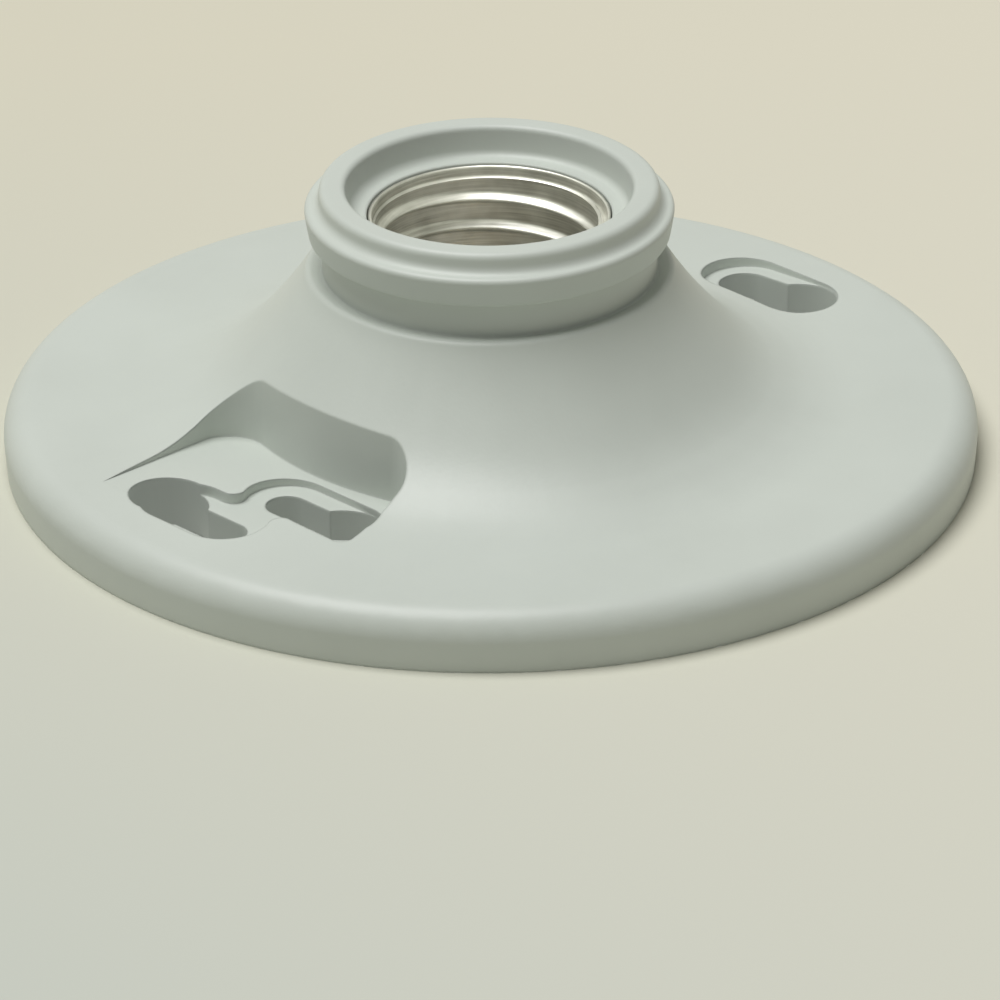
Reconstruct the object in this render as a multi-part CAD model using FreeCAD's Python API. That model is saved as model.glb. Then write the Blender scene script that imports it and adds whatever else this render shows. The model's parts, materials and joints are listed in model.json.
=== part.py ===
import FreeCAD, Part
import os
from math import sin, cos, tan, radians, sqrt, pi
from FreeCAD import Vector

# Keyless lamp holder for a ceiling outlet box: a one-piece moulded canopy with a short lipped neck,
# a rolled aluminium screw shell in its well, a brass centre contact, and two wiring terminals
# under the hollow back. Z is up, the rim stands on z = 0, and the box-screw slots lie along X.
# All lengths are in millimetres.

# Canopy outside
rimRadius = 57.15
rimDraft = 0.25
edgeRadius = 3.5
skirtHeight = 3.55
domeSlope = 1.5
flareTopRadius = 21.6
flareTopHeight = 23.13
flareTopSlope = 58.0
flareKneeSlope = 46.0
flareUpperRadius = 60.0

# Neck, lip and mouth, each height counted from the one below it
neckRadius = 19.5
neckHeight = 4.67
shelfRound = 0.9
shelfHump = 10.0
lipRadius = 21.45
lipFootRadius = 20.95
lipFootRound = 0.3
lipSwell = 0.1
lipSideHeight = 2.95
beadRound = 0.6
coveRadius = 19.75
coveHeight = 2.3
coveSag = 0.35
topRound = 0.6
topRise = 0.75
funnelTopRadius = 16.7
funnelFootRadius = 16.2
funnelRound = 0.8
ledgeDepth = 3.6

# Hollow back
canopyWall = 2.6
barrelWall = 2.9
socketFloor = 3.0
floorTop = 8.4
roofDrop = 1.6
ribWidth = 1.8
ribFoot = 2.4
ribAngles = (50.0, 130.0, 230.0, 310.0)

# Screw shell, medium base: seven threads to the inch
threadPitch = 25.4 / 7
threadDepth = 0.9
threadRadius = 12.85
shellWall = 0.4
shellGap = 0.15
bandRadius = 13.7
bandHeight = 2.3
bandShoulder = 0.9
threadRunOut = 1.8
shellSleeve = 2.2
shellBend = 0.9
shellHoleRadius = 7.2
sectionsPerTurn = 8

# Box-screw openings: two keyholes in the pocket, one with its own sunk rim on the far side
outerScrewRadius = 44.45
innerScrewRadius = 34.9
backScrewRadius = 44.3
outerHeadRadius = 4.6
innerHeadRadius = 5.0
backHeadRadius = 5.0
outerSlotHalf = 2.55
innerSlotHalf = 2.45
backSlotHalf = 3.05
outerKeyHead = 7.6
outerKeyTail = -1.75
outerSeatTop = 5.0
innerKeyHead = -10.8
innerKeyTail = -1.9
backKeyHead = -7.8
backKeyTail = 0.7
seatMargin = 2.6
seatHeight = 5.4
seatFillet = 1.4
pocketHeight = 6.2
pocketTilt = 2.8
pocketWallX = -28.5
pocketWallRound = 35.0
pocketTipX = -47.7
pocketTopY = 15.9
pocketTopFall = 0.8
pocketTopCorner = 4.4
pocketFootY = -15.1
pocketFootCorner = 3.7
pocketHeelFall = 1.0
pocketHeelRound = 1.5
pocketBack = 2.4
padFoot = 0.0
recessMargin = 2.1
recessHeight = 6.45
recessTilt = 3.0

# Contact, rivets and terminals
islandRadius = 6.9
islandHeight = 1.0
leafWidth = 5.6
leafWall = 0.5
leafRise = 2.8
rivetRadius = 1.3
rivetHead = 2.3
rivetHeadHeight = 0.8
contactRivetY = -3.7
shellRivetCircle = 9.7
strapWall = 0.8
strapWidth = 8.0
terminalY = 22.5
screwRadius = 1.75
screwGap = 0.05
screwRelief = 0.35
screwLength = 6.6
screwHeadRadius = 3.9
screwHeadHeight = 1.9
screwSlotWidth = 1.1
screwSlotDepth = 0.8
earHalf = 5.6

lipFootHeight = flareTopHeight + neckHeight
beadHeight = lipFootHeight + lipSideHeight
coveTopHeight = beadHeight + coveHeight
topHeight = coveTopHeight + topRise
ledgeHeight = topHeight - ledgeDepth
floorFoot = floorTop - socketFloor
wellRadius = bandRadius + shellWall + shellGap
barrelRadius = wellRadius + barrelWall
islandTop = floorTop + islandHeight
strapFoot = floorFoot - strapWall
big = 4 * rimRadius


def at(r, z):
    return Vector(r, 0, z)


def line(a, b):
    return Part.makeLine(a, b)


def arc(a, m, b):
    return Part.Arc(a, m, b).toShape()


def onArc(centre, radius, slope, side):
    # side 1 is a round that bulges outwards, side -1 a hollow one; slope is the fall in degrees
    return centre + Vector(side * radius * sin(radians(slope)), 0, side * radius * cos(radians(slope)))


def slopeArc(start, slopeA, slopeB, radius, side):
    centre = start - onArc(Vector(), radius, slopeA, side)
    middle = onArc(centre, radius, (slopeA + slopeB) / 2, side)
    end = onArc(centre, radius, slopeB, side)
    return arc(start, middle, end), end


def turned(edges):
    face = Part.Face(Part.Wire(edges))
    return face.revolve(Vector(), Vector(0, 0, 1), 360)


def turnedPoints(points):
    return turned([line(a, b) for a, b in zip(points, points[1:] + points[:1])])


def cylinder(radius, zLow, zHigh, x=0.0, y=0.0):
    return Part.makeCylinder(radius, zHigh - zLow, Vector(x, y, zLow))


def prism(edges, zLow, zHigh):
    face = Part.Face(Part.Wire(edges))
    face.translate(Vector(0, 0, zLow))
    return face.extrude(Vector(0, 0, zHigh - zLow))


def obround(x, yA, yB, half, zLow, zHigh):
    low, high = min(yA, yB), max(yA, yB)
    a, b = Vector(x - half, low, 0), Vector(x + half, low, 0)
    c, d = Vector(x + half, high, 0), Vector(x - half, high, 0)
    edges = [arc(a, Vector(x, low - half, 0), b), line(b, c),
             arc(c, Vector(x, high + half, 0), d), line(d, a)]
    return prism(edges, zLow, zHigh)


def uprightCreases(shape, smoothest=5.0):
    # upright edges whose two faces meet at more than the given angle, in degrees
    found = []
    for e in shape.Edges:
        a, b = e.Vertexes[0].Point, e.Vertexes[-1].Point
        if abs(a.x - b.x) > 1e-4 or abs(a.y - b.y) > 1e-4:
            continue
        middle = (a + b) * 0.5
        sides = [f for f in shape.Faces if any(e.isSame(g) for g in f.Edges)]
        normals = [f.normalAt(*f.Surface.parameter(middle)) for f in sides]
        if len(normals) == 2 and normals[0].getAngle(normals[1]) > radians(smoothest):
            found.append(e)
    return found


# The flare is two hollow arcs, steep under the shelf and easing into the nearly flat dome.
def flareEdges(start, inset):
    upper, knee = slopeArc(start, flareTopSlope, flareKneeSlope, flareUpperRadius + inset, -1)
    s0, s1 = radians(flareKneeSlope), radians(domeSlope)
    edgeTop = domeEdge(inset)
    fall = knee.z - edgeTop.z - (edgeTop.x - knee.x) * tan(s1)
    radius = fall / ((cos(s1) - cos(s0)) - (sin(s0) - sin(s1)) * tan(s1))
    lower, foot = slopeArc(knee, flareKneeSlope, domeSlope, radius, -1)
    return [upper, lower, line(foot, edgeTop)]


def domeEdge(inset):
    centre = at(rimRadius - edgeRadius, skirtHeight)
    return onArc(centre, edgeRadius - inset, domeSlope, 1)


def outerBody():
    edgeTop = domeEdge(0)
    edgeSide = at(rimRadius, skirtHeight)
    edgeMid = onArc(at(rimRadius - edgeRadius, skirtHeight), edgeRadius, 45, 1)
    shelfEdge = at(flareTopRadius, flareTopHeight)
    # the shelf is a low round hump that dips again towards the neck
    shelfArc, shelfIn = slopeArc(shelfEdge, flareTopSlope, -shelfHump, shelfRound, 1)
    neckFoot = at(neckRadius, shelfIn.z - (shelfIn.x - neckRadius) * tan(radians(shelfHump)))
    lipCorner = at(lipFootRadius, lipFootHeight + lipFootRound)
    lipUnder = at(lipFootRadius - lipFootRound, lipFootHeight)
    lipMid = onArc(at(lipFootRadius - lipFootRound, lipFootHeight + lipFootRound), lipFootRound, 135, 1)
    beadSide = at(lipRadius, beadHeight)
    sideMid = at((lipFootRadius + lipRadius) / 2 + lipSwell, (lipCorner.z + beadHeight) / 2)
    # the bead's round goes past the upright and rolls over into the cove under the top ring
    beadCentre = at(lipRadius - beadRound, beadHeight)
    beadMid = onArc(beadCentre, beadRound, 45, 1)
    beadTop = onArc(beadCentre, beadRound, 0, 1)
    coveTop = at(coveRadius, coveTopHeight)
    coveMid = at((beadTop.x + coveTop.x) / 2 - coveSag, (beadTop.z + coveTop.z) / 2 - coveSag)
    topSide = at(coveRadius, topHeight - topRound)
    topEdge = at(coveRadius - topRound, topHeight)
    topMid = onArc(at(coveRadius - topRound, topHeight - topRound), topRound, 45, 1)
    return turned([
        line(at(0, 0), at(rimRadius - rimDraft, 0)),
        line(at(rimRadius - rimDraft, 0), edgeSide),
        arc(edgeSide, edgeMid, edgeTop),
        *reversed(flareEdges(shelfEdge, 0)),
        shelfArc,
        line(shelfIn, neckFoot),
        line(neckFoot, at(neckRadius, lipFootHeight)),
        line(at(neckRadius, lipFootHeight), lipUnder),
        arc(lipUnder, lipMid, lipCorner),
        arc(lipCorner, sideMid, beadSide),
        arc(beadSide, beadMid, beadTop),
        arc(beadTop, coveMid, coveTop),
        line(coveTop, topSide),
        arc(topSide, topMid, topEdge),
        line(topEdge, at(0, topHeight)),
        line(at(0, topHeight), at(0, 0)),
    ])


# The mouth: a steep funnel down to a narrow ledge, then the straight well of the screw shell.
def mouthAndWell():
    funnelTop = at(funnelTopRadius, topHeight - topRound)
    lipIn = at(funnelTopRadius + topRound, topHeight)
    lipMid = at(funnelTopRadius + 0.3 * topRound, topHeight - 0.3 * topRound)
    funnelFoot = at(funnelFootRadius, ledgeHeight + funnelRound)
    ledgeIn = at(funnelFootRadius - funnelRound, ledgeHeight)
    footMid = at(funnelFootRadius - 0.3 * funnelRound, ledgeHeight + 0.3 * funnelRound)
    return turned([
        line(at(0, topHeight + 1), at(funnelTopRadius + topRound, topHeight + 1)),
        line(at(funnelTopRadius + topRound, topHeight + 1), lipIn),
        arc(lipIn, lipMid, funnelTop),
        line(funnelTop, funnelFoot),
        arc(funnelFoot, footMid, ledgeIn),
        line(ledgeIn, at(wellRadius, ledgeHeight)),
        line(at(wellRadius, ledgeHeight), at(wellRadius, floorTop)),
        line(at(wellRadius, floorTop), at(0, floorTop)),
        line(at(0, floorTop), at(0, topHeight + 1)),
    ])


# The space under the canopy, a wall's thickness inside the outer form and outside the barrel.
def hollowBack():
    s = radians(flareTopSlope)
    top = at(flareTopRadius - canopyWall * sin(s), flareTopHeight - canopyWall * cos(s))
    edgeTop = domeEdge(canopyWall)
    skirtIn = at(rimRadius - canopyWall, skirtHeight)
    edgeMid = onArc(at(rimRadius - edgeRadius, skirtHeight), edgeRadius - canopyWall, 45, 1)
    barrelTop = at(barrelRadius, top.z - roofDrop)
    roofMid = at(barrelRadius + 0.3 * (top.x - barrelRadius), top.z - 0.12 * roofDrop)
    ring = turned([
        line(at(barrelRadius, -1), at(rimRadius - rimDraft - canopyWall, -1)),
        line(at(rimRadius - rimDraft - canopyWall, -1), skirtIn),
        arc(skirtIn, edgeMid, edgeTop),
        *reversed(flareEdges(top, canopyWall)),
        arc(top, roofMid, barrelTop),
        line(barrelTop, at(barrelRadius, -1)),
    ])
    return ring.fuse(cylinder(barrelRadius, -1, floorFoot)).removeSplitter()


def roundCorner(centre, radius, a, b):
    # the arc of a corner's round from point a to point b, by the short way
    middle = (a - centre) + (b - centre)
    return arc(a, centre + middle * (radius / middle.Length), b)


def pocketOutline(grow):
    # a wall that bows with the flare, a lobe beside each keyhole head, a square heel and a pointed tip
    low, high = pocketFootY - grow, pocketTopY + grow
    near = -innerScrewRadius - innerSlotHalf - seatMargin - grow
    wallCentre = Vector(pocketWallX + pocketWallRound, 0, 0)
    wallRadius = pocketWallRound - grow
    rounds = []
    for side, edge, radius in ((1, high, pocketTopCorner + grow), (-1, low, pocketFootCorner + grow)):
        y = edge - side * radius
        centre = Vector(wallCentre.x - sqrt((wallRadius + radius) ** 2 - y ** 2), y, 0)
        touch = wallCentre + (centre - wallCentre) * (wallRadius / (wallRadius + radius))
        rounds.append((centre, radius, touch, Vector(centre.x, edge, 0)))
    (topCentre, topRadius, topTouch, topEnd), (footCentre, footRadius, footTouch, footEnd) = rounds
    heelRound = pocketHeelRound + grow
    heelCentre = Vector(near + heelRound, low - pocketHeelFall + heelRound, 0)
    heelFoot = heelCentre - Vector(0, heelRound, 0)
    heelSide = heelCentre - Vector(heelRound, 0, 0)
    tip, notch = Vector(pocketTipX - grow, high - pocketTopFall, 0), Vector(near, innerKeyTail, 0)
    side = Vector(pocketTipX - grow, outerSeatTop, 0)
    return [
        line(tip, topEnd),
        roundCorner(topCentre, topRadius, topEnd, topTouch),
        arc(topTouch, Vector(pocketWallX + grow, 0, 0), footTouch),
        roundCorner(footCentre, footRadius, footTouch, footEnd),
        line(footEnd, heelFoot),
        roundCorner(heelCentre, heelRound, heelFoot, heelSide),
        line(heelSide, notch),
        line(notch, side),
        line(side, tip),
    ]


def seats(zLow, zHigh, grow):
    outer = obround(-outerScrewRadius, outerKeyTail, outerSeatTop, outerSlotHalf + seatMargin + grow,
                    zLow, zHigh)
    inner = obround(-innerScrewRadius, innerKeyTail, innerKeyHead, innerSlotHalf + seatMargin + grow,
                    zLow, zHigh)
    both = outer.fuse(inner).removeSplitter()
    creases = uprightCreases(both)
    # the outer form for the back keeps its creases; seats that lie apart have none to round
    if grow > 0 or not creases:
        return both
    return both.makeFillet(seatFillet, creases)


def keyhole(x, head, headRadius, tail, half):
    return cylinder(headRadius, -big, big, x, head).fuse(obround(x, head, tail, half, -big, big))


def pocketCuts():
    # the pocket's floor rises gently towards the rim until it runs out into the dome
    shelf = prism(pocketOutline(0), pocketHeight, topHeight)
    shelf.rotate(Vector(pocketWallX, 0, pocketHeight), Vector(0, 1, 0), pocketTilt)
    return [shelf, seats(seatHeight, topHeight, 0),
            keyhole(-outerScrewRadius, outerKeyHead, outerHeadRadius, outerKeyTail, outerSlotHalf),
            keyhole(-innerScrewRadius, innerKeyHead, innerHeadRadius, innerKeyTail, innerSlotHalf)]


def backRecess(zLow, grow):
    return obround(backScrewRadius, backKeyHead, backKeyTail, backSlotHalf + recessMargin + grow,
                   zLow, topHeight)


def backCuts():
    # its sunk rim is deepest at the narrow end and runs out towards the head
    recess = backRecess(recessHeight, 0)
    recess.rotate(Vector(0, backKeyHead / 2, recessHeight), Vector(1, 0, 0), -recessTilt)
    return [recess, keyhole(backScrewRadius, backKeyHead, backHeadRadius, backKeyTail, backSlotHalf)]


def backSolids():
    # what stays solid inside the hollow back: the keyholes' pads, the terminal ears and the ribs
    solids = [
        prism(pocketOutline(pocketBack), padFoot, topHeight),
        seats(padFoot, topHeight, pocketBack),
        backRecess(padFoot, pocketBack),
        obround(0, 0, terminalY, earHalf, floorFoot, topHeight),
        obround(0, -terminalY, 0, earHalf, floorFoot, topHeight),
    ]
    for angle in ribAngles:
        rib = Part.makeBox(rimRadius - barrelRadius, ribWidth, topHeight - ribFoot,
                           Vector(barrelRadius - 1, -ribWidth / 2, ribFoot))
        rib.rotate(Vector(), Vector(0, 0, 1), angle)
        solids.append(rib)
    return solids


def rivetPlaces():
    return [Vector(shellRivetCircle * cos(radians(a)), shellRivetCircle * sin(radians(a)), 0)
            for a in (90, 210, 330)]


def housing():
    hollow = hollowBack()
    for solid in backSolids():
        hollow = hollow.cut(solid)
    body = outerBody().cut(mouthAndWell())
    body = body.fuse(cylinder(islandRadius, floorTop - 1, islandTop))
    body = body.cut(hollow)
    for cut in pocketCuts() + backCuts():
        body = body.cut(cut)
    for p in rivetPlaces():
        body = body.cut(cylinder(rivetRadius + screwGap, 0, floorTop + 1, p.x, p.y))
    body = body.cut(cylinder(rivetRadius + screwGap, 0, islandTop + 1, 0, contactRivetY))
    for y in (terminalY, -terminalY):
        depth = screwLength - strapWall + 1
        body = body.cut(cylinder(screwRadius + screwRelief, floorFoot - 1, floorFoot + depth, 0, y))
    return body.removeSplitter()


# A rolled thread is one circle carried up a small helix: each level is the same round, set off
# from the axis by half the thread's depth, and its centre goes once round in every pitch.
def threadColumn(radius, zLow, zHigh):
    turns = (zHigh - zLow) / threadPitch
    count = int(round(turns * sectionsPerTurn))
    wires = []
    for i in range(count + 1):
        z = zLow + (zHigh - zLow) * i / count
        fade = min(1.0, (z - zLow) / threadRunOut, (zHigh - z) / threadRunOut)
        off = fade * threadDepth / 2
        turn = 2 * pi * (z - zLow) / threadPitch
        centre = Vector(off * cos(turn), off * sin(turn), z)
        wires.append(Part.Wire(Part.Circle(centre, Vector(0, 0, 1), radius).toShape()))
    return Part.makeLoft(wires, True, False)


def shellColumn(grow, zBottom, bend):
    # the sleeve at the foot, the thread, the shoulder and the plain band at the mouth
    low, high = floorTop + shellSleeve, ledgeHeight - bandHeight - bandShoulder
    r, band = threadRadius + grow, bandRadius + grow
    foot = turned([
        line(at(0, zBottom), at(r - bend, zBottom)),
        arc(at(r - bend, zBottom), at(r - bend * (1 - sqrt(0.5)), zBottom + bend * (1 - sqrt(0.5))),
            at(r, zBottom + bend)),
        line(at(r, zBottom + bend), at(r, low)),
        line(at(r, low), at(0, low)),
        line(at(0, low), at(0, zBottom)),
    ])
    mouth = turnedPoints([at(0, high), at(r, high), at(band, high + bandShoulder),
                          at(band, ledgeHeight - shellGap), at(0, ledgeHeight - shellGap)])
    return foot.fuse([threadColumn(r, low, high), mouth])


def screwShell():
    outside = shellColumn(shellWall, floorTop, shellBend + shellWall)
    inside = shellColumn(0, floorTop + shellWall, shellBend)
    inside = inside.fuse(cylinder(bandRadius, ledgeHeight - 2 * shellGap, ledgeHeight + 1))
    shell = outside.cut(inside).cut(cylinder(shellHoleRadius, 0, ledgeHeight))
    for p in rivetPlaces():
        shell = shell.cut(cylinder(rivetRadius + screwGap, 0, floorTop + 2, p.x, p.y))
    return shell.removeSplitter()


def centreContact():
    # a brass leaf riveted to the island, its tongue bent up to meet the lamp's tip
    z = islandTop
    half = leafWidth / 2
    tail = contactRivetY - half
    crown = z + leafRise
    spine = Part.BSplineCurve()
    spine.interpolate([Vector(0, -1.0, z), Vector(0, 0.6, z + 0.55 * leafRise), Vector(0, 2.4, crown),
                       Vector(0, 4.4, crown - 0.9)], InitialTangent=Vector(0, 2.4, 0))
    upper = Part.BSplineCurve()
    upper.interpolate([Vector(0, -1.0, z + leafWall), Vector(0, 0.3, z + 0.55 * leafRise + leafWall * 0.6),
                       Vector(0, 2.4, crown + leafWall), Vector(0, 4.7, crown - 0.5)],
                      InitialTangent=Vector(0, 2.4, 0))
    side = [line(Vector(0, tail, z), Vector(0, -1.0, z)), spine.toShape(),
            line(Vector(0, 4.4, crown - 0.9), Vector(0, 4.7, crown - 0.5)), upper.toShape(),
            line(Vector(0, -1.0, z + leafWall), Vector(0, tail, z + leafWall)),
            line(Vector(0, tail, z + leafWall), Vector(0, tail, z))]
    leaf = Part.Face(Part.Wire(Part.__sortEdges__(side))).extrude(Vector(leafWidth, 0, 0))
    leaf.translate(Vector(-half, 0, 0))
    trim = obround(0, contactRivetY, 4.7 - half + 1.0, half, z - 1, crown + 2)
    leaf = leaf.common(trim)
    return leaf.cut(cylinder(rivetRadius + screwGap, z - 1, z + 2, 0, contactRivetY))


def rivet(place, headSeat, tailSeat):
    # a shank with a domed head above headSeat and a flatter set head below tailSeat
    dome = Part.makeSphere((rivetHead ** 2 + rivetHeadHeight ** 2) / (2 * rivetHeadHeight))
    rise = dome.BoundBox.ZMax - rivetHeadHeight
    dome.translate(Vector(0, 0, headSeat - rise))
    head = dome.common(cylinder(rivetHead + 1, headSeat, headSeat + 2 * rivetHeadHeight))
    setHead = Part.makeCone(rivetHead - 0.5, rivetHead, rivetHeadHeight * 0.75)
    setHead.translate(Vector(0, 0, tailSeat - rivetHeadHeight * 0.75))
    shank = cylinder(rivetRadius, tailSeat - 0.1, headSeat + 0.1)
    whole = shank.fuse([head, setHead]).removeSplitter()
    whole.translate(place)
    return whole


def strap(yNear, yFar):
    # a flat plated strip under the socket floor, tapped for its wire screw at the far end
    body = obround(0, yNear, yFar, strapWidth / 2, strapFoot, floorFoot)
    body = body.cut(cylinder(screwRadius + screwGap, 0, floorTop, 0, yFar))
    return body.cut(cylinder(rivetRadius + screwGap, 0, floorTop, 0, yNear))


def terminalScrew(y):
    headFoot = strapFoot - screwHeadHeight
    head = cylinder(screwHeadRadius, headFoot, strapFoot)
    rim = [e for e in head.Edges if e.Curve.TypeId == "Part::GeomCircle"
           and abs(e.Vertexes[0].Point.z - headFoot) < 0.01]
    head = head.makeFillet(0.6, rim)
    tip = Part.makeCone(screwRadius, screwRadius - 0.5, 0.5)
    tip.translate(Vector(0, 0, strapFoot + screwLength - 0.5))
    shank = cylinder(screwRadius, strapFoot - 0.1, strapFoot + screwLength - 0.5)
    screw = head.fuse([shank, tip])
    screw = screw.cut(Part.makeBox(2 * screwHeadRadius + 1, screwSlotWidth, screwSlotDepth + 1,
                                   Vector(-screwHeadRadius - 0.5, -screwSlotWidth / 2, headFoot - 1)))
    screw = screw.removeSplitter()
    screw.translate(Vector(0, y, 0))
    return screw


def build():
    pieces = {
        "housing": housing(),
        "screw_shell": screwShell(),
        "centre_contact": centreContact(),
        "contact_rivet": rivet(Vector(0, contactRivetY, 0), islandTop + leafWall, strapFoot),
        "neutral_strap": strap(shellRivetCircle, terminalY),
        "line_strap": strap(contactRivetY, -terminalY),
        "neutral_screw": terminalScrew(terminalY),
        "line_screw": terminalScrew(-terminalY),
    }
    names = ("shell_rivet_neutral", "shell_rivet_left", "shell_rivet_right")
    for name, place in zip(names, rivetPlaces()):
        tail = strapFoot if name == "shell_rivet_neutral" else floorFoot
        pieces[name] = rivet(place, floorTop + shellWall, tail)
    return pieces


os.makedirs("parts", exist_ok=True)
for name, shape in build().items():
    shape.exportStep("parts/" + name + ".step")
    box = shape.BoundBox
    print("%-20s solids %d valid %s volume %.1f  z %.2f to %.2f" % (
        name, len(shape.Solids), shape.isValid(), shape.Volume, box.ZMin, box.ZMax))
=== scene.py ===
import json
from math import atan, cos, pi, radians, sin

import bmesh
import bpy
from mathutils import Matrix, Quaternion, Vector


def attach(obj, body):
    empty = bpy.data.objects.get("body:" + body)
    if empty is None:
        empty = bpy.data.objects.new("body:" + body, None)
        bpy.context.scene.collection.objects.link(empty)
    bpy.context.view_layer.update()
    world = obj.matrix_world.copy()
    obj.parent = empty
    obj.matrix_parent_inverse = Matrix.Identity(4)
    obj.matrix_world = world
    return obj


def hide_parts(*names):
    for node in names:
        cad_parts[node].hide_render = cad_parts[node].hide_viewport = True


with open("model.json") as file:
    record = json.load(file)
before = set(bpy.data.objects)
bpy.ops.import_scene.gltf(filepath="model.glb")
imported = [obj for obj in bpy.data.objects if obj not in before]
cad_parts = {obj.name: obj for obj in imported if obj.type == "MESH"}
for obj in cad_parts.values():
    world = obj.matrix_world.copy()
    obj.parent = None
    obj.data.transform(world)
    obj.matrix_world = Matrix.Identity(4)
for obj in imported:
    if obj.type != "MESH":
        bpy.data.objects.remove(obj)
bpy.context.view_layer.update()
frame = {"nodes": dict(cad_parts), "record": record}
nodes = frame["nodes"]
scene = bpy.context.scene
print("frame loaded with", len(nodes), "nodes")


# A socket that adds a Math node for each operator, so that shader maths reads as plain expressions
class Value:
    def __init__(self, shader, socket):
        self.shader = shader
        self.socket = socket

    def maths(self, operation, *values):
        return self.shader.add("ShaderNodeMath", {"operation": operation}, dict(enumerate(values)))[0]

    def __add__(self, other):
        return self.maths("ADD", self, other)

    def __sub__(self, other):
        return self.maths("SUBTRACT", self, other)

    def __rsub__(self, other):
        return self.maths("SUBTRACT", other, self)

    def __mul__(self, other):
        return self.maths("MULTIPLY", self, other)

    __radd__ = __add__
    __rmul__ = __mul__


# The nodes of a new material, or of the world
class Shader:
    def __init__(self, owner):
        self.owner = owner
        owner.use_nodes = True
        self.tree = owner.node_tree
        self.tree.nodes.clear()

    # adds any node: its settings go first, then its sockets get values or links
    def add(self, kind, settings=None, inputs=None):
        node = self.tree.nodes.new(kind)
        for name, value in (settings or {}).items():
            setattr(node, name, value)
        for name, value in (inputs or {}).items():
            if isinstance(value, Value):
                self.tree.links.new(value.socket, node.inputs[name])
            else:
                node.inputs[name].default_value = value
        return [Value(self, s) for s in node.outputs]

    def position(self):
        return self.add("ShaderNodeTexCoord")[3]  # the Object output

    def noise(self, size, detail=3, stretch=(1, 1, 1), roughness=0.5):
        where = self.add("ShaderNodeMapping", None,
                         {"Vector": self.position(), "Scale": [s / size for s in stretch]})[0]
        return self.add("ShaderNodeTexNoise", None,
                        {"Vector": where, "Scale": 1, "Detail": detail, "Roughness": roughness})[0]

    def ramp(self, value, low, high, fromLow=0, fromHigh=1):
        return self.add("ShaderNodeMapRange", None,
                        {0: value, 1: fromLow, 2: fromHigh, 3: low, 4: high})[0]

    def mixColours(self, factor, a, b):
        return self.add("ShaderNodeMix", {"data_type": "RGBA"}, {0: factor, 6: a, 7: b})[2]

    def bump(self, height, distance, normal=None):
        sockets = {"Height": height, "Distance": distance, "Strength": 1}
        if normal:
            sockets["Normal"] = normal
        return self.add("ShaderNodeBump", None, sockets)[0]

    def show(self, surface, output="ShaderNodeOutputMaterial"):
        self.add(output, None, {"Surface": surface})
        return self.owner

    def finish(self, sockets):
        return self.show(self.add("ShaderNodeBsdfPrincipled", None, sockets)[0])


def newShader(name):
    return Shader(bpy.data.materials.new(name))


def colour(red, green, blue):
    # a colour as seen on screen, from 0 to 255, as the shader's linear value
    return tuple(((c / 255 + 0.055) / 1.055) ** 2.4 for c in (red, green, blue)) + (1,)


def mm(length):
    return length / 1000


# The moulding is a satin white with a faint cloudy tone, a fine moulded skin and softly rounded edges
moulding = {
    "light": colour(205, 211, 203),
    "dark": colour(200, 206, 198),
    "roughness": 0.42,
    "skinRoughness": 0.08,
    "cloudRoughness": 0.06,
    "cloudSize": mm(18),
    "cloudRange": (0.3, 0.7),  # the noise values at which the tone is all dark and all light
    "waveSize": mm(9),
    "waveDepth": mm(0.02),
    "skinSize": mm(0.6),
    "skinDepth": mm(0.012),
    "edgeRound": mm(0.5),
    "edgeSamples": 6,
}


def mouldingMaterial():
    s = newShader("satin_moulding")
    cloud = s.noise(moulding["cloudSize"], 4)
    skin = s.noise(moulding["skinSize"], 3)
    waves = s.noise(moulding["waveSize"], 1)
    uneven = (skin - 0.5) * moulding["skinRoughness"] + (cloud - 0.5) * moulding["cloudRoughness"]
    softEdge = s.add("ShaderNodeBevel", {"samples": moulding["edgeSamples"]},
                     {"Radius": moulding["edgeRound"]})[0]
    height = skin * moulding["skinDepth"] + waves * moulding["waveDepth"]
    return s.finish({
        "Base Color": s.mixColours(s.ramp(cloud, 0, 1, *moulding["cloudRange"]),
                                   moulding["dark"], moulding["light"]),
        "Roughness": moulding["roughness"] + uneven,
        "Normal": s.bump(height, 1, softEdge),
        "IOR": 1.5,
    })


# The rolled shell is bright aluminium with fine rings left by the rolling and faint dull patches
rolledMetal = {
    "base": colour(238, 237, 231),
    "dull": colour(186, 185, 178),
    "roughness": 0.38,
    "ringRoughness": 0.16,
    "ringSize": mm(0.26),
    "ringStretch": (0.02, 0.02, 1),
    "ringDepth": mm(0.03),
    "ringShare": 0.6,
    "patchSize": mm(4),
    "tarnishRange": (0.35, 0.65),
}


def shellMaterial():
    s = newShader("rolled_aluminium")
    rings = s.noise(rolledMetal["ringSize"], 4, rolledMetal["ringStretch"], 0.6)
    patches = s.noise(rolledMetal["patchSize"], 3)
    share = rolledMetal["ringShare"]
    tarnish = s.ramp(rings * share + patches * (1 - share), 0, 1, *rolledMetal["tarnishRange"])
    return s.finish({
        "Base Color": s.mixColours(tarnish, rolledMetal["dull"], rolledMetal["base"]),
        "Metallic": 1.0,
        "Roughness": rolledMetal["roughness"] + rings * rolledMetal["ringRoughness"],
        "Normal": s.bump(rings, rolledMetal["ringDepth"]),
    })


# Plated and brass pieces have a fine grain along their strip, and spots of duller plating
plating = {
    "grainSize": mm(0.35),
    "grainStretch": (1, 0.08, 1),
    "grainRoughness": 0.2,
    "grainDepth": mm(0.01),
    "spotSize": mm(2.2),
    "spotRange": (0.3, 0.7),
}


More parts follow.
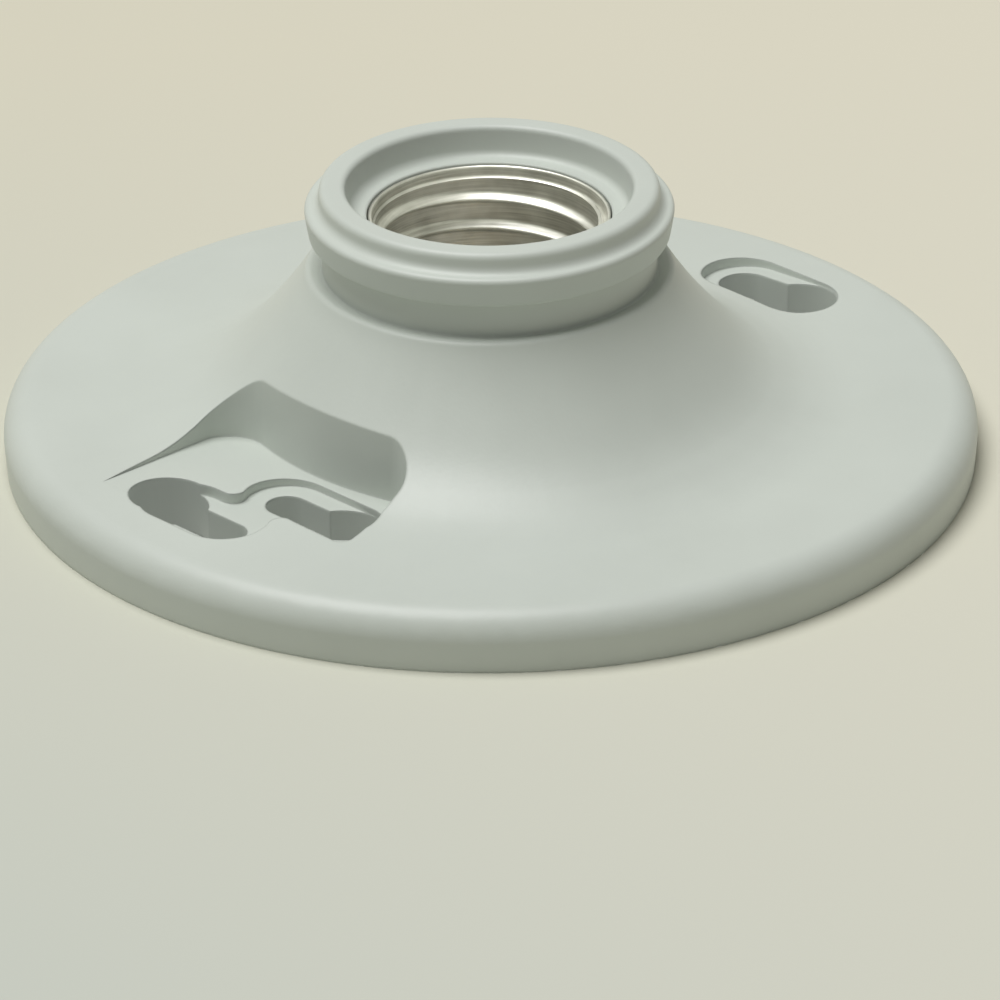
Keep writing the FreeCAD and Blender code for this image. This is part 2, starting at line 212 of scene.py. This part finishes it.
def metalMaterial(name, light, dark, roughness):
    s = newShader(name)
    grain = s.noise(plating["grainSize"], 4, plating["grainStretch"], 0.6)
    spots = s.noise(plating["spotSize"], 4)
    return s.finish({
        "Base Color": s.mixColours(s.ramp(spots, 0, 1, *plating["spotRange"]), dark, light),
        "Metallic": 1.0,
        "Roughness": roughness + (grain - 0.5) * plating["grainRoughness"],
        "Normal": s.bump(grain, plating["grainDepth"]),
    })


materials = {
    "moulding": mouldingMaterial(),
    "shell": shellMaterial(),
    "contact": metalMaterial("spring_brass", colour(214, 180, 112), colour(186, 148, 84), 0.3),
    "rivet": metalMaterial("rivet_metal", colour(205, 205, 203), colour(172, 172, 168), 0.34),
    "neutral_plate": metalMaterial("nickel_plate", colour(198, 197, 192), colour(182, 180, 173), 0.3),
    "line_plate": metalMaterial("strip_brass", colour(205, 170, 104), colour(186, 148, 86), 0.32),
}

for part in frame["record"]["subparts"]:
    mesh = nodes[part["node"]].data
    mesh.materials.clear()
    mesh.materials.append(materials[part["material_slot"]])
print("materials made:", ", ".join(sorted(materials)))


# The steps that the housing and the screw shell share
def makeLine(bm, points):
    # points are radius and height in millimetres
    corners = [bm.verts.new((mm(radius), 0, mm(height))) for radius, height in points]
    for a, b in zip(corners, corners[1:]):
        bm.edges.new((a, b))
    return corners


def turnedLine(outline, segments, roundSteps):
    bm = bmesh.new()
    corners = makeLine(bm, [(radius, height) for radius, height, _ in outline])
    for corner, (_, _, size) in zip(corners, outline):
        if size:
            bmesh.ops.bevel(bm, geom=[corner], offset=mm(size), segments=roundSteps, profile=0.5,
                            affect="VERTICES", material=-1)
    bmesh.ops.spin(bm, geom=bm.verts[:] + bm.edges[:], cent=(0, 0, 0), axis=(0, 0, 1), angle=2 * pi,
                   steps=segments, use_merge=True)
    return bm


def cutAway(bm, height, up):
    bmesh.ops.bisect_plane(bm, geom=bm.verts[:] + bm.edges[:] + bm.faces[:], dist=1e-7,
                           plane_co=(0, 0, mm(height)), plane_no=(0, 0, up), clear_outer=True)


def addTo(bm, other):
    carrier = bpy.data.meshes.new("carrier")
    other.to_mesh(carrier)
    other.free()
    bm.from_mesh(carrier)
    bpy.data.meshes.remove(carrier)


def makePiece(name, bm, slot, sharpAngle):
    bmesh.ops.recalc_face_normals(bm, faces=bm.faces)
    for face in bm.faces:
        face.smooth = True
    mesh = bpy.data.meshes.new(name)
    bm.to_mesh(mesh)
    bm.free()
    packedNormals = mesh.attributes.get("custom_normal")  # they no longer fit once the mesh is merged
    if packedNormals:
        mesh.attributes.remove(packedNormals)
    mesh.set_sharp_from_angle(angle=radians(sharpAngle))
    mesh.materials.append(materials[slot])
    piece = bpy.data.objects.new(name, mesh)
    scene.collection.objects.link(piece)
    print(name, "made with", len(mesh.polygons), "faces")
    return piece


# The neck, lip and mouth are turned again from their own outline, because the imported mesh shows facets
# there. Each corner is radius, height and round, in millimetres, from the flare up and down into the well.
neck = {
    "cut": 22.2,
    "outline": (
        (22.063, 22.4, 0), (21.6, 23.13, 0), (21.278, 23.645, 0.5), (19.5, 23.331, 0.15),
        (19.5, 27.8, 0.3), (20.95, 27.8, 0.35), (21.22, 29.2, 0.7), (21.45, 30.75, 0),
        (21.45, 31.35, 0.55), (19.83, 31.42, 1.0), (19.75, 33.8, 0.8), (16.74, 33.8, 0.6),
        (16.2, 30.2, 0.8), (14.25, 30.2, 0.15), (14.25, 22.4, 0),
    ),
    "segments": 160,
    "roundSteps": 6,
    "between": 18,  # a radius between the well and the outside
    "sharpAngle": 30,
}


def makeHousing():
    bm = bmesh.new()
    bm.from_mesh(nodes["housing"].data)
    bmesh.ops.remove_doubles(bm, verts=bm.verts, dist=1e-6)
    cutAway(bm, neck["cut"], 1)
    addTo(bm, turnedLine(neck["outline"], neck["segments"], neck["roundSteps"]))
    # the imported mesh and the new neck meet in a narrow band, outside and in the well
    openEdges = [e for e in bm.edges if e.is_boundary]
    for inside in (False, True):
        ring = [e for e in openEdges if (e.verts[0].co.xy.length < mm(neck["between"])) == inside]
        bmesh.ops.bridge_loops(bm, edges=ring)
    piece = makePiece("housing_look", bm, "moulding", neck["sharpAngle"])
    piece.modifiers.new("weighted", "WEIGHTED_NORMAL").keep_sharp = True
    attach(piece, "holder")
    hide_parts("housing")


makeHousing()

# The screw shell is rolled from thin sheet: a narrow ridge carried up as a screw, a plain band at the mouth
# and a foot turned in over the socket's floor. Millimetres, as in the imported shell.
screwShell = {
    "radius": 13.36,
    "ridge": 0.92,
    "ridgeSharpness": 6,
    "pitch": 25.4 / 7,
    "low": 10.4,
    "high": 28.6,
    "firstRidge": 26.1,
    "ridgeAngle": radians(45),  # where round the shell the first ridge has that height
    "stepsPerTurn": 72,
    "ridgePoints": 28,
    "roundSteps": 4,
    "band": ((13.5, 28.7, 0), (13.62, 28.85, 0.1), (13.64, 29.8, 0), (13.72, 30.05, 0)),
    "foot": ((12.85, 10.2, 0), (12.85, 8.8, 0.9), (7.2, 8.8, 0)),
    "seam": 0.25,  # the band and the foot start less than this from the thread's ends
    "wall": 0.4,
    "sharpAngle": 50,
}


def ridgeRadius(height):
    turn = 2 * pi * (height - screwShell["firstRidge"]) / screwShell["pitch"] + screwShell["ridgeAngle"]
    rise = (0.5 + 0.5 * cos(turn)) ** screwShell["ridgeSharpness"]
    return screwShell["radius"] - screwShell["ridge"] * rise


def makeThread():
    # one pitch of the ridge's outline is carried round and up, then cut level at both ends
    bm = bmesh.new()
    pitch, low, high = screwShell["pitch"], screwShell["low"], screwShell["high"]
    count, perTurn = screwShell["ridgePoints"], screwShell["stepsPerTurn"]
    heights = [low - pitch + pitch * i / count for i in range(count + 1)]
    makeLine(bm, [(ridgeRadius(height), height) for height in heights])
    turns = int((high - low) / pitch) + 2
    bmesh.ops.spin(bm, geom=bm.verts[:] + bm.edges[:], cent=(0, 0, 0), axis=(0, 0, 1),
                   dvec=(0, 0, mm(pitch) / perTurn), angle=2 * pi * turns, steps=turns * perTurn)
    bmesh.ops.remove_doubles(bm, verts=bm.verts, dist=2e-6)
    cutAway(bm, low, -1)
    cutAway(bm, high, 1)
    return bm


def makeScrewShell():
    bm = makeThread()
    perTurn, roundSteps = screwShell["stepsPerTurn"], screwShell["roundSteps"]
    addTo(bm, turnedLine(screwShell["band"], perTurn * 2, roundSteps))
    addTo(bm, turnedLine(screwShell["foot"], perTurn, roundSteps))
    for end in (screwShell["low"], screwShell["high"]):
        ring = [e for e in bm.edges
                if e.is_boundary and abs(e.verts[0].co.z - mm(end)) < mm(screwShell["seam"])]
        bmesh.ops.bridge_loops(bm, edges=ring)
    piece = makePiece("screw_shell_look", bm, "shell", screwShell["sharpAngle"])
    # the sheet's thickness goes outwards, away from the thread that shows
    inward = sum(f.normal.xy.dot(f.center.xy) for f in piece.data.polygons) < 0
    sheet = piece.modifiers.new("sheet", "SOLIDIFY")
    sheet.thickness = mm(screwShell["wall"])
    sheet.offset = -1 if inward else 1
    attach(piece, "holder")
    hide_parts("screw_shell")


makeScrewShell()

# Camera, from the photograph: the holder's foot stands a little above the middle of the picture
camera = {
    "azimuth": -45,
    "elevation": 26.2,
    "distance": 0.83,
    "focalPixels": 7048,
    "pictureSide": 1000,
    "footAcross": 491,
    "footDown": 446.1,
    "roll": -0.39,
    "sensor": 36,
    "nearest": 0.05,
    "farthest": 20,
}


def makeCamera():
    turn, lift = radians(camera["azimuth"]), radians(camera["elevation"])
    back = Vector((sin(turn) * cos(lift), -cos(turn) * cos(lift), sin(lift)))
    data = bpy.data.cameras.new("camera")
    data.sensor_width = camera["sensor"]
    data.lens = camera["focalPixels"] / camera["pictureSide"] * camera["sensor"]
    data.clip_start = camera["nearest"]
    data.clip_end = camera["farthest"]
    half = camera["pictureSide"] / 2
    across = (camera["footAcross"] - half) / camera["focalPixels"]
    down = (camera["footDown"] - half) / camera["focalPixels"]
    eye = bpy.data.objects.new("camera", data)
    scene.collection.objects.link(eye)
    eye.rotation_mode = "QUATERNION"
    aim = back.to_track_quat("Z", "Y")
    aim = aim @ Quaternion((0, 0, 1), radians(camera["roll"]))
    aim = aim @ Quaternion((0, 1, 0), atan(across)) @ Quaternion((1, 0, 0), atan(down))
    eye.location = back * camera["distance"]
    eye.rotation_quaternion = aim
    scene.camera = eye


makeCamera()

# Plain studio: one broad lamp overhead, one below for the hollow back, an even world and a pale floor
studio = {
    "lamps": {
        "overhead": {"power": 23.0, "width": 1.2, "place": (-0.27, 0.26, 1.6)},
        "underneath": {"power": 9.0, "width": 1.2, "place": (0.1, -0.1, -1.2)},
    },
    "world": 0.19,
    "room": colour(213, 215, 200),
    "front": colour(204, 208, 197),
    "behind": colour(220, 216, 196),
    # painted light: the paler floor colour towards the right
    "paintedLightRight": colour(236, 231, 212),
    "rightShare": 0.5,
    "toneDepth": (-0.12, 0.12),
    "paintedLightAcross": (-0.06, 0.08),
    "floorRadius": 6,
    "floorHole": mm(56.9),
    "floorSegments": 96,
    "floorRoughness": 0.9,
}


def makeLamp(name, lamp):
    data = bpy.data.lights.new(name, "AREA")
    data.energy = lamp["power"]
    data.shape = "DISK"
    data.size = lamp["width"]
    stand = bpy.data.objects.new(name, data)
    stand.location = lamp["place"]
    stand.rotation_mode = "QUATERNION"
    stand.rotation_quaternion = Vector(lamp["place"]).to_track_quat("Z", "Y")
    scene.collection.objects.link(stand)


def makeWorld():
    # an even light, with a pale room in its place wherever the camera or a reflection looks at it
    world = bpy.data.worlds.new("studio")
    scene.world = world
    s = Shader(world)
    seen, _, _, mirrored = s.add("ShaderNodeLightPath")[:4]
    light = s.add("ShaderNodeBackground", None, {"Color": (1, 1, 1, 1), "Strength": studio["world"]})[0]
    room = s.add("ShaderNodeBackground", None, {"Color": studio["room"]})[0]
    shown = seen.maths("MAXIMUM", seen, mirrored)
    s.show(s.add("ShaderNodeMixShader", None, {0: shown, 1: light, 2: room})[0], "ShaderNodeOutputWorld")


def floorMaterial():
    # a faint change of tone, from warm behind the holder to cool before it, and painted light: the floor's
    # colour is made paler to its right, a brighter side painted in
    s = newShader("pale_floor")
    x, y, _ = s.add("ShaderNodeSeparateXYZ", None, {"Vector": s.position()})
    turn = radians(camera["azimuth"])
    depth, across = y * cos(turn) - x * sin(turn), x * cos(turn) + y * sin(turn)
    tone = s.mixColours(s.ramp(depth, 0, 1, *studio["toneDepth"]), studio["front"], studio["behind"])
    # painted light: the floor is made paler towards its right
    right = s.ramp(across, 0, studio["rightShare"], *studio["paintedLightAcross"])
    tone = s.mixColours(right, tone, studio["paintedLightRight"])
    return s.finish({"Base Color": tone, "Roughness": studio["floorRoughness"], "Specular IOR Level": 0.0})


def makeFloor():
    # it stops under the rim, so that the hollow back can be seen and lit from below
    bm = bmesh.new()
    for radius in (studio["floorRadius"], studio["floorHole"]):
        bmesh.ops.create_circle(bm, cap_ends=False, segments=studio["floorSegments"], radius=radius)
    bmesh.ops.bridge_loops(bm, edges=bm.edges)
    bmesh.ops.recalc_face_normals(bm, faces=bm.faces)
    mesh = bpy.data.meshes.new("floor")
    bm.to_mesh(mesh)
    bm.free()
    mesh.materials.append(floorMaterial())
    floor = bpy.data.objects.new("floor", mesh)
    scene.collection.objects.link(floor)


for lampName, lampFacts in studio["lamps"].items():
    makeLamp(lampName, lampFacts)
makeWorld()
makeFloor()
scene.view_settings.view_transform = "Standard"
print("camera, lamps, world and floor made")
